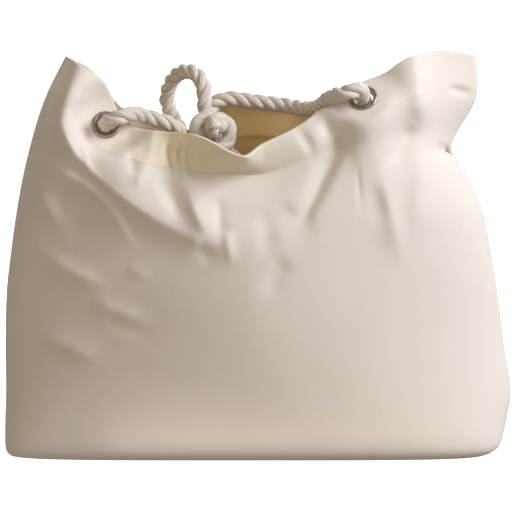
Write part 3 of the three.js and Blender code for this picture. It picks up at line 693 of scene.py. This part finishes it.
def hem_material(name, turns):
    """Canvas of one face of the hem, turning from pale to painted warm light on its way around the mouth.
    """
    first_colour = turns[0][1]
    material = canvas_material(name, first_colour, first_colour)
    tree = material.node_tree
    across = add_node(tree, "ShaderNodeSeparateXYZ", {"Vector": cloth_place(tree)}).outputs["X"]
    way = add_node(tree, "ShaderNodeMapRange", {"Value": across, "From Max": 2 * PANEL_WIDTH * MM})
    colour = ramp(tree, way.outputs["Result"], turns)
    set_inputs(tree, tree.nodes["Principled BSDF"], {"Base Color": colour})
    return material


# Rope cotton: spacing and slant of its yarns, sizes of its fluff and mottling, how strong
# and how high in metres its yarns stand, and the tones of its two colours
YARN_SCALE = 190
YARN_SLANT = 0.5
FLUFF_SCALE = 420
ROPE_MOTTLE_SCALE = 30
YARN_STRENGTH = 0.5
YARN_HEIGHT = 0.0008
ROPE_DEEP_TONE = 0
ROPE_PALE_TONE = 0.5


def rope_material():
    """Twisted cotton: fine yarns along each strand, with painted shade in the grooves between them."""
    material, tree, shader = new_material("rope_cotton")
    in_space = object_place(tree)
    slanted = add_node(tree, "ShaderNodeMapping",
                       {"Vector": cloth_place(tree), "Rotation": (0, 0, YARN_SLANT)}).outputs["Vector"]
    settings = {"Vector": slanted, "Scale": YARN_SCALE, "Distortion": 2.5, "Detail": 2, "Detail Scale": 3}
    yarn = add_node(tree, "ShaderNodeTexWave", settings, bands_direction="Y").outputs["Fac"]
    # Painted shade: the colour darkens where the yarn relief dips, as well as with the mottling
    tone = combined(tree, yarn, noise(tree, in_space, ROPE_MOTTLE_SCALE, detail=3), "MULTIPLY")
    height = combined(tree, yarn, noise(tree, in_space, FLUFF_SCALE, detail=3), "ADD")
    set_inputs(tree, shader, {
        "Base Color": ramp(tree, tone, [(ROPE_DEEP_TONE, ROPE_DEEP_AND_GROOVE_SHADE), (ROPE_PALE_TONE, ROPE_PALE)]),
        "Normal": relief(tree, height, YARN_STRENGTH, YARN_HEIGHT),
        "Roughness": 0.95,
        "Specular IOR Level": 0.15,
        "Sheen Weight": 0.2,
    })
    return material


# Eyelet metal: size of its worn spots, their strength and height in metres, and the wear at
# which it is dark and bright
WEAR_SCALE = 220
WEAR_STRENGTH = 0.15
WEAR_HEIGHT = 0.0002
DARK_WEAR = 0.35
BRIGHT_WEAR = 0.7


def metal_material():
    """Dark antique metal, rubbed brighter in spots."""
    material, tree, shader = new_material("eyelet_metal")
    wear = noise(tree, object_place(tree), WEAR_SCALE, detail=4)
    rough = add_node(tree, "ShaderNodeMapRange", {"Value": wear, "To Min": 0.3, "To Max": 0.55})
    set_inputs(tree, shader, {
        "Base Color": ramp(tree, wear, [(DARK_WEAR, METAL_DARK), (BRIGHT_WEAR, METAL_WORN)]),
        "Normal": relief(tree, wear, WEAR_STRENGTH, WEAR_HEIGHT),
        "Roughness": rough.outputs["Result"],
        "Metallic": 1,
    })
    return material


# Rope handles

# Points from stop to stop of a route, the spacing of a line's points, and the lean under
# which a line counts as upright
CURVE_STEPS = 24
LINE_STEP = 1
NEARLY_UPRIGHT = 0.1


def curve_through(points):
    """Smooth curve through the points, with no loops between close ones."""
    points = np.asarray(points, float)
    points = np.vstack([2 * points[0] - points[1], points, 2 * points[-1] - points[-2]])
    gaps = np.sqrt(np.linalg.norm(np.diff(points, axis=0), axis=1))
    s = np.linspace(0, 1, CURVE_STEPS, endpoint=False)[:, None]
    made = []
    for i in range(1, len(points) - 2):
        a, b, c, d = points[i - 1:i + 3]
        before, span, after = gaps[i - 1:i + 2]
        out = ((b - a) / before - (c - a) / (before + span) + (c - b) / span) * span
        into = ((c - b) / span - (d - b) / (span + after) + (d - c) / after) * span
        made.append(hermite(b, c, out, into, s))
    return np.vstack(made + [points[-2:-1]])


def even(line, step):
    """The same line with its points evenly spaced."""
    lengths = lengths_along(line)
    wanted = np.linspace(0, lengths[-1], max(int(round(lengths[-1] / step)), 2) + 1)
    return points_at(wanted, lengths, line)


def route_line(route):
    """Handle's line between its knots, its bends eased as a stiff rope eases them."""
    points = []
    for stop in route:
        if isinstance(stop[0], str):
            place = PLACES[stop[0]]
            stop = place["centre"] + place["normal"] * (stop[1] - HEM_THICKNESS / 2)
        points.append(stop)
    line = even(curve_through(points), LINE_STEP)
    for _ in range(ROPE_EASING):
        line[1:-1] = 0.5 * line[1:-1] + 0.25 * (line[:-2] + line[2:])
    return line


def knot_line(end, direction, turn):
    """Line of the knot that takes up a rope's end, entered in the given direction."""
    aim = Vector((0, 0, 1)).rotation_difference(Vector(direction))
    points = []
    for row in KNOT_TURN:
        spin = math.radians(row["angle"] + turn)
        across = row["radius"] * math.cos(spin), row["radius"] * math.sin(spin)
        points.append(np.array(aim @ Vector((*across, row["along"] + TOUCH_GAP))) + end)
    return even(curve_through(points), LINE_STEP)


def handle_line(handle):
    """Whole rope from tail to tail, with each point's distance along it and share in a knot."""
    line = route_line(handle["route"])
    first = knot_line(line[0], unit(line[0] - line[1]), handle["knots"][0][1])
    second = knot_line(line[-1], unit(line[-1] - line[-2]), handle["knots"][1][1])
    whole = np.vstack([first[::-1], line, second])
    lengths = lengths_along(whole)
    into_first = lengths[len(first)] - lengths
    into_second = lengths - lengths[len(first) + len(line) - 1]
    return whole, lengths, smooth_step(np.maximum(into_first, into_second) / KNOT_DRAW)


def untwisted_sides(line):
    """Two directions square to a line and to each other, with no twist of their own."""
    tangents = unit(np.gradient(line, axis=0))
    side = np.cross((0, 0, 1), tangents[0])
    if np.linalg.norm(side) < NEARLY_UPRIGHT:
        side = np.cross((1, 0, 0), tangents[0])
    sides = [unit(side)]
    for tangent in tangents[1:]:
        side = sides[-1] - tangent * (sides[-1] @ tangent)
        sides.append(unit(side))
    sides = np.array(sides)
    return sides, np.cross(tangents, sides)


# A strand's radius and distance from the rope's axis as shares of the rope's radius, on
# the free rope and pressed in a knot, its flattening, and the radius of its unrolled face
STRAND_SHARE = 0.49
STRAND_OFFSET = 0.52
PRESSED_SHARE = 0.64
PRESSED_OFFSET = 0.4
STRAND_HEIGHT = 0.96
STRAND_WIDTH = 1.04
WRAP_RADIUS = 4


def strand_mesh(line, lengths, radius, knotted, turn):
    """Points, faces and UV of one strand laid round the rope's line."""
    sides, others = untwisted_sides(line)
    angle = (2 * math.pi * lengths / ROPE_PITCH + turn)[:, None]
    outward = sides * np.cos(angle) + others * np.sin(angle)
    offset = STRAND_OFFSET + (PRESSED_OFFSET - STRAND_OFFSET) * knotted
    share = STRAND_SHARE + (PRESSED_SHARE - STRAND_SHARE) * knotted
    centre = line + outward * (radius * offset)[:, None]
    along = unit(np.gradient(centre, axis=0))
    outward = unit(outward - along * np.sum(outward * along, axis=1, keepdims=True))
    across = np.cross(along, outward)
    around = np.linspace(0, 2 * math.pi, STRAND_SIDES, endpoint=False)
    thick = (radius * share)[:, None, None]
    ring = (outward[:, None] * np.cos(around)[None, :, None] * STRAND_HEIGHT
            + across[:, None] * np.sin(around)[None, :, None] * STRAND_WIDTH) * thick
    points = centre[:, None] + ring
    caps = np.stack([centre[0], centre[-1]])
    faces = [tuple(f) for f in grid_faces(len(line), STRAND_SIDES, True)]
    last = (len(line) - 1) * STRAND_SIDES
    tip = len(line) * STRAND_SIDES
    for k in range(STRAND_SIDES):
        nxt = (k + 1) % STRAND_SIDES
        faces += [(tip, nxt, k), (tip + 1, last + k, last + nxt)]
    run = lengths_along(centre)
    uv = np.stack(np.broadcast_arrays(run[:, None], around[None, :] * WRAP_RADIUS), -1).reshape(-1, 2)
    return np.vstack([points.reshape(-1, 3), caps]), faces, np.vstack([uv, [(0, 0), (run[-1], 0)]])


TAIL = 16
TAIL_SPREAD = 1.5


def make_handle(handle, material):
    """One rope with its two knots, its strands opening at the tails."""
    line, lengths, knotted = (along[::ROPE_STEP] for along in handle_line(handle))
    radius = (ROPE_DIAMETER + (KNOT_ROPE_DIAMETER - ROPE_DIAMETER) * knotted) / 2
    tail = np.clip(1 - np.minimum(lengths, lengths[-1] - lengths) / TAIL, 0, 1)
    radius = radius * (1 + (TAIL_SPREAD - 1) * tail)
    points, faces, uvs = [], [], []
    for k in range(STRANDS):
        part, quads, uv = strand_mesh(line, lengths, radius, knotted, 2 * math.pi * k / STRANDS)
        start = sum(map(len, points))
        faces += [tuple(i + start for i in f) for f in quads]
        points.append(part)
        uvs.append(uv)
    rope = mesh_object(f"{handle['name']}_strands", np.vstack(points), faces, material)
    set_uv(rope, np.vstack(uvs))
    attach(rope, "root")
    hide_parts(handle["name"], *(name for name, _ in handle["knots"]))


# Bag body

HOLE_RADIUS = 12
CUT_RADIUS = 11.5
CUT_DEPTH = 8


def cut_eyelet_holes(points, faces):
    """Faces left after the holes are cut, and points drawn back to each hole's edge."""
    points = points.copy()
    keep = np.ones(len(faces), bool)
    for place in PLACES.values():
        off = points - place["centre"]
        depth = off @ place["normal"]
        flat = off - depth[:, None] * place["normal"]
        away = np.linalg.norm(flat, axis=1)
        near = np.abs(depth) < CUT_DEPTH
        middles = points[faces].mean(1) - place["centre"]
        middle_depth = middles @ place["normal"]
        middle_away = np.linalg.norm(middles - middle_depth[:, None] * place["normal"], axis=1)
        keep &= ~((middle_away < CUT_RADIUS) & (np.abs(middle_depth) < CUT_DEPTH))
        drawn = near & (away < HOLE_RADIUS)
        points[drawn] += (unit(flat) * (HOLE_RADIUS - away)[:, None])[drawn]
    return points, faces[keep]


def base_grid(points):
    """Flat bottom between the lowest front row and back row, as extra points and faces."""
    front = points[0, :COLUMNS + 1]
    back = np.vstack([points[0, :1], points[0, :COLUMNS:-1], points[0, COLUMNS:COLUMNS + 1]])
    shares = np.linspace(0, 1, BASE_ROWS + 1)[1:-1, None, None]
    inner = front + (back - front) * shares
    inner = inner[:, 1:-1]
    front_ids = np.arange(COLUMNS + 1)
    back_ids = np.r_[0, np.arange(AROUND - 1, COLUMNS, -1), COLUMNS]
    start = points.shape[0] * AROUND
    rows = [front_ids]
    for r in range(BASE_ROWS - 1):
        ids = start + r * (COLUMNS - 1) + np.arange(COLUMNS - 1)
        rows.append(np.r_[0, ids, COLUMNS])
    rows.append(back_ids)
    faces = []
    for low, high in zip(rows[:-1], rows[1:]):
        for i in range(COLUMNS):
            corners = [high[i], high[i + 1], low[i + 1], low[i]]
            distinct = [c for k, c in enumerate(corners) if c not in corners[:k]]
            if len(distinct) > 2:
                faces.append(tuple(distinct))
    return inner.reshape(-1, 3), faces


def cloth_uv(points):
    """Place of each point on the flat cloth: across the two panels, and up along the cloth."""
    rise = np.linalg.norm(np.diff(points, axis=0), axis=2)
    up = np.concatenate([np.zeros((1, AROUND)), np.cumsum(rise, axis=0)])
    at = np.r_[ATS, 2 - ATS[COLUMNS - 1:0:-1]]
    across = np.broadcast_to(at * PANEL_WIDTH, up.shape)
    return np.stack([across, up], -1)


HEM_SLOT = 2


def hem_faces(bag, walls, first):
    """The hem's own material on the faces from its first point up."""
    slots = np.zeros(len(bag.data.polygons), int)
    slots[:len(walls)][walls.min(axis=1) >= first] = HEM_SLOT
    bag.data.polygons.foreach_set("material_index", slots)


def thicken(bag, first):
    """Cloth's thickness inwards, greater along the hem."""
    hem = bag.vertex_groups.new(name="hem")
    hem.add(list(range(first, len(ROWS) * AROUND)), 1.0, "REPLACE")
    thick = bag.modifiers.new("thickness", "SOLIDIFY")
    thick.thickness = HEM_THICKNESS * MM
    thick.offset = -1
    thick.vertex_group = "hem"
    thick.thickness_vertex_group = CLOTH_SHARE
    thick.material_offset = 1
    thick.material_offset_rim = 0
    apply_modifiers(bag)


def make_bag(outside, inside, hem_outside, hem_inside):
    """Cloth of the bag as one sheet, with its eyelet holes, hem and base, and its grid of points."""
    points = cloth_points()
    walls = grid_faces(len(ROWS), AROUND, True)
    flat, walls = cut_eyelet_holes(points.reshape(-1, 3), walls)
    base, base_faces = base_grid(points)
    faces = [tuple(face) for face in walls] + base_faces
    bag = mesh_object("bag_cloth", np.vstack([flat, base]), faces, outside)
    for cloth in (inside, hem_outside, hem_inside):
        bag.data.materials.append(cloth)
    first = int(np.searchsorted(ROWS, STITCH_LINE)) * AROUND
    hem_faces(bag, walls, first)
    set_uv(bag, np.vstack([cloth_uv(points).reshape(-1, 2), base[:, :2]]))
    thicken(bag, first)
    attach(bag, "root")
    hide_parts("front_panel", "back_panel", "base_panel")
    return bag, points


STITCH_LENGTH = 3.2
STITCH_STEP = 4.3
STITCH_WIDTH = 0.9
STITCH_RINGS = 4
STITCH_SIDES = 6
STITCH_END = 0.12
STITCH_FLATNESS = 0.7
STITCH_LIFT = 0.15


def stitch_row(line, normals):
    """Short raised stitches along a line of points with their outward normals."""
    lengths = lengths_along(line)
    starts = np.arange(STITCH_STEP, lengths[-1] - STITCH_STEP, STITCH_STEP)
    made, faces = [], []
    for start in starts:
        s = np.linspace(start, start + STITCH_LENGTH, STITCH_RINGS + 2)
        spine = points_at(s, lengths, line)
        out = points_at(s, lengths, normals)
        along = unit(np.gradient(spine, axis=0))
        side = np.cross(along, out)
        swell = np.sin(np.linspace(STITCH_END, math.pi - STITCH_END, STITCH_RINGS + 2))[:, None, None]
        turn = np.linspace(0, 2 * math.pi, STITCH_SIDES, endpoint=False)[None, :, None]
        ring = side[:, None] * np.cos(turn) + out[:, None] * np.sin(turn) * STITCH_FLATNESS
        offset = sum(map(len, made))
        raised = spine[:, None] + out[:, None] * STITCH_LIFT
        made.append((raised + ring * swell * STITCH_WIDTH / 2).reshape(-1, 3))
        faces += [tuple(f) for f in grid_faces(STITCH_RINGS + 2, STITCH_SIDES, True, offset)]
    return np.vstack(made), faces


def make_stitches(points, material):
    """Sewing along the hem's lower edge, front and back."""
    row = int(np.searchsorted(ROWS, STITCH_LINE))
    ring = points[row]
    across = np.gradient(np.vstack([ring[-1:], ring, ring[:1]]), axis=0)[1:-1]
    normals = unit(np.cross(across, points[row + 1] - points[row - 1]))
    made, faces = stitch_row(np.vstack([ring, ring[:1]]), np.vstack([normals, normals[:1]]))
    sewing = mesh_object("hem_stitches", made, faces, material)
    set_uv(sewing, made[:, [0, 2]])
    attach(sewing, "root")
    return sewing


# Eyelets

# Rolled flange: points over its dome, the angle left out at each edge, and its roundness
DOME_STEPS = 14
DOME_EDGE = 0.06
DOME_ROUNDNESS = 0.7


def eyelet_profile():
    """Section of a set eyelet: rolled flange outside, barrel and pressed washer inside."""
    grip = HEM_THICKNESS / 2 + EYELET_GAP
    face = grip + EYELET_FLANGE_THICKNESS
    crown = (EYELET_HOLE_RADIUS + EYELET_FLANGE_RADIUS) / 2
    reach = (EYELET_FLANGE_RADIUS - EYELET_HOLE_RADIUS) / 2
    dome = [(crown - reach * math.cos(a), grip + (face - grip) * math.sin(a) ** DOME_ROUNDNESS)
            for a in np.linspace(DOME_EDGE, math.pi - DOME_EDGE, DOME_STEPS)]
    upper = [(EYELET_BARREL_RADIUS, grip), (EYELET_FLANGE_RADIUS, grip)] + dome[::-1]
    lower = [(r, -z) for r, z in reversed(upper)]
    return np.array(upper + lower)


def make_eyelet(name, material):
    """Ring of a set eyelet, turned about its axis."""
    place = PLACES[name]
    profile = eyelet_profile()
    middle = place["centre"] - place["normal"] * HEM_THICKNESS / 2
    side = unit(np.cross(place["normal"], (0, 0, 1)))
    other = np.cross(place["normal"], side)
    turn = np.linspace(0, 2 * math.pi, EYELET_SEGMENTS, endpoint=False)
    spoke = side[None] * np.cos(turn)[:, None] + other[None] * np.sin(turn)[:, None]
    points = (middle + spoke[:, None] * profile[None, :, :1] + place["normal"] * profile[None, :, 1:])
    count = len(profile)
    faces = []
    for i in range(EYELET_SEGMENTS):
        j = (i + 1) % EYELET_SEGMENTS
        for k in range(count):
            m = (k + 1) % count
            faces.append((i * count + k, j * count + k, j * count + m, i * count + m))
    eyelet = mesh_object(f"{name}_ring", points, faces, material)
    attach(eyelet, "root")
    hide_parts(name)


# Camera, light and floor

def look_at(made, target):
    made.rotation_euler = (target - made.location).to_track_quat("-Z", "Y").to_euler()


def make_camera():
    data = bpy.data.cameras.new("camera")
    camera = bpy.data.objects.new("camera", data)
    bpy.context.scene.collection.objects.link(camera)
    back = Vector((0, -math.cos(CAMERA_ELEVATION), math.sin(CAMERA_ELEVATION)))
    camera.location = CAMERA_TARGET + back * CAMERA_DISTANCE
    look_at(camera, CAMERA_TARGET)
    data.sensor_width = SENSOR_WIDTH
    data.lens = SENSOR_WIDTH * CAMERA_DISTANCE / VIEW_WIDTH
    data.shift_x, data.shift_y = CAMERA_SHIFT
    bpy.context.scene.camera = camera


def area_light(name, place, size, power, colour):
    data = bpy.data.lights.new(name, "AREA")
    data.size = size
    data.energy = power
    data.color = colour
    light = bpy.data.objects.new(name, data)
    bpy.context.scene.collection.objects.link(light)
    light.location = place
    look_at(light, CAMERA_TARGET)
    return light


def floor_bounce():
    """Light that the white floor in front throws up at the bag's foot."""
    width, depth = BOUNCE_SIZE
    light = area_light("bounce", BOUNCE_PLACE, width, BOUNCE_POWER, BOUNCE_COLOUR)
    light.data.shape = "RECTANGLE"
    light.data.size_y = depth
    light.rotation_euler = (math.pi, 0, 0)
    light.visible_camera = False


def make_light():
    area_light("key", KEY_PLACE, KEY_SIZE, KEY_POWER, KEY_COLOUR)
    area_light("fill", FILL_PLACE, FILL_SIZE, FILL_POWER, SKY_COLOUR)
    area_light("back", BACK_PLACE, BACK_SIZE, BACK_POWER, SKY_COLOUR)
    floor_bounce()
    world = bpy.data.worlds.new("sky")
    world.use_nodes = True
    sky = world.node_tree.nodes["Background"]
    set_inputs(world.node_tree, sky, {"Color": (*SKY_COLOUR, 1), "Strength": SKY_STRENGTH})
    bpy.context.scene.world = world


def make_room():
    """White floor and far walls, bright enough to read as plain white; only the floor stops light."""
    material, tree, shader = new_material("white_room")
    set_inputs(tree, shader, {
        "Base Color": (*FLOOR_COLOUR, 1),
        "Roughness": 1,
        "Emission Color": (1, 1, 1, 1),
        "Emission Strength": FLOOR_GLOW,
    })
    reach = FLOOR_REACH / MM
    corners = np.array([(-1, -1, 0), (1, -1, 0), (1, 1, 0), (-1, 1, 0)]) * reach
    floor = mesh_object("floor", corners, [(0, 1, 2, 3)], material)
    high = corners + (0, 0, reach)
    walls = mesh_object("walls", np.vstack([corners, high]), grid_faces(2, len(corners), True), material)
    walls.visible_shadow = False
    for piece in (floor, walls):
        piece.visible_diffuse = False
        piece.visible_glossy = False


# The bag in its room

bpy.context.scene.view_settings.view_transform = "Standard"
make_camera()
cotton = rope_material()
for row in HANDLES:
    make_handle(row, cotton)
make_light()
make_room()
canvas = canvas_material("canvas", CANVAS_PALE, CANVAS_DEEP)
hem_cloth_painted_light = hem_material("canvas_hem_painted_light", HEM_TURNS_TO_PAINTED_LIGHT)
# Inner face coloured with painted warm bounce light
inner_side_bounce_light = canvas_material("canvas_inside_bounce_light", INSIDE_BOUNCE_LIGHT_PALE, INSIDE_BOUNCE_LIGHT_DEEP)
inner_hem = hem_material("canvas_inner_hem", INNER_HEM_TURNS)
bag, cloth = make_bag(canvas, inner_side_bounce_light, hem_cloth_painted_light, inner_hem)
sewing = make_stitches(cloth, canvas)
metal = metal_material()
for row in EYELETS:
    make_eyelet(row["name"], metal)
